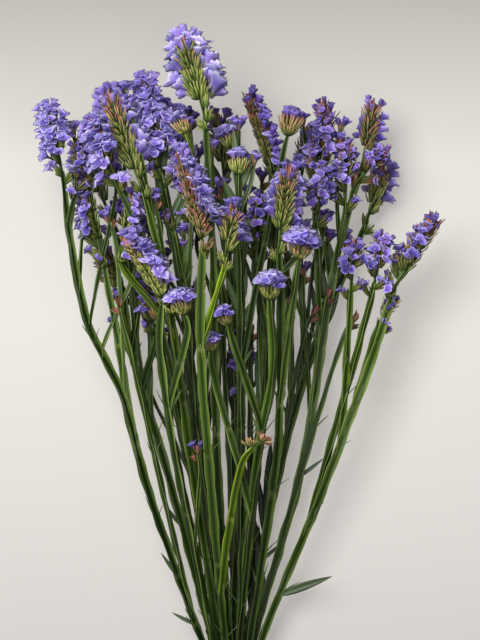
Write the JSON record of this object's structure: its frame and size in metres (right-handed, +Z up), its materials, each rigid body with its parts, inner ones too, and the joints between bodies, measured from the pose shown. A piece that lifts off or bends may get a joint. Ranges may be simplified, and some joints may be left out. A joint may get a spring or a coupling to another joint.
{
  "type": "bunch of statice",
  "caption": "Tied bunch of purple statice lying on a surface: winged green stems fan out to flat sprays of ruffled papery calyces.",
  "frame": {"origin": "on the surface that the bunch lies on, below the middle of the bunch's length and width", "axes": "+Y from the cut stem ends to the flowers, +X across the fan, +Z up from the surface"},
  "size_m": [0.3252, 0.6075, 0.1488],
  "materials": {
    "stem": "satin leaf green, with brown papery tips on the bracts",
    "calyx": "matt, papery, violet with paler edges",
    "band": "matt tan"
  },
  "bodies": {
    "root": {"stem_t1": "stem", "stem_t2": "stem", "stem_t3": "stem", "stem_t4": "stem", "stem_u1": "stem", "stem_u2": "stem", "stem_u3": "stem", "stem_u4": "stem", "stem_u5": "stem", "stem_l1": "stem", "stem_l2": "stem", "stem_l3": "stem", "stem_l4": "stem", "stem_b1": "stem", "stem_b2": "stem", "stem_b3": "stem", "bloom_t1a": "calyx", "bloom_t1b": "calyx", "bloom_t2a": "calyx", "bloom_t2b": "calyx", "bloom_t3a": "calyx", "bloom_t3b": "calyx", "bloom_t3c": "calyx", "bloom_t4a": "calyx", "bloom_t4b": "calyx", "bloom_u1a": "calyx", "bloom_u1b": "calyx", "bloom_u1c": "calyx", "bloom_u2a": "calyx", "bloom_u2b": "calyx", "bloom_u2c": "calyx", "bloom_u3a": "calyx", "bloom_u3b": "calyx", "bloom_u4a": "calyx", "bloom_u4b": "calyx", "bloom_u4c": "calyx", "bloom_u5a": "calyx", "bloom_u5b": "calyx", "bloom_u5c": "calyx", "bloom_u5d": "calyx", "bloom_l1a": "calyx", "bloom_l1b": "calyx", "bloom_l1c": "calyx", "bloom_l2a": "calyx", "bloom_l2b": "calyx", "bloom_l3a": "calyx", "bloom_l3b": "calyx", "bloom_l3c": "calyx", "bloom_l4a": "calyx", "bloom_l4b": "calyx", "bloom_l4c": "calyx", "bloom_l4d": "calyx", "bloom_b1a": "calyx", "bloom_b2a": "calyx", "bloom_b2b": "calyx", "bloom_b3a": "calyx", "bloom_b3b": "calyx", "bloom_b3c": "calyx", "band": "band"}
  },
  "joints": []
}
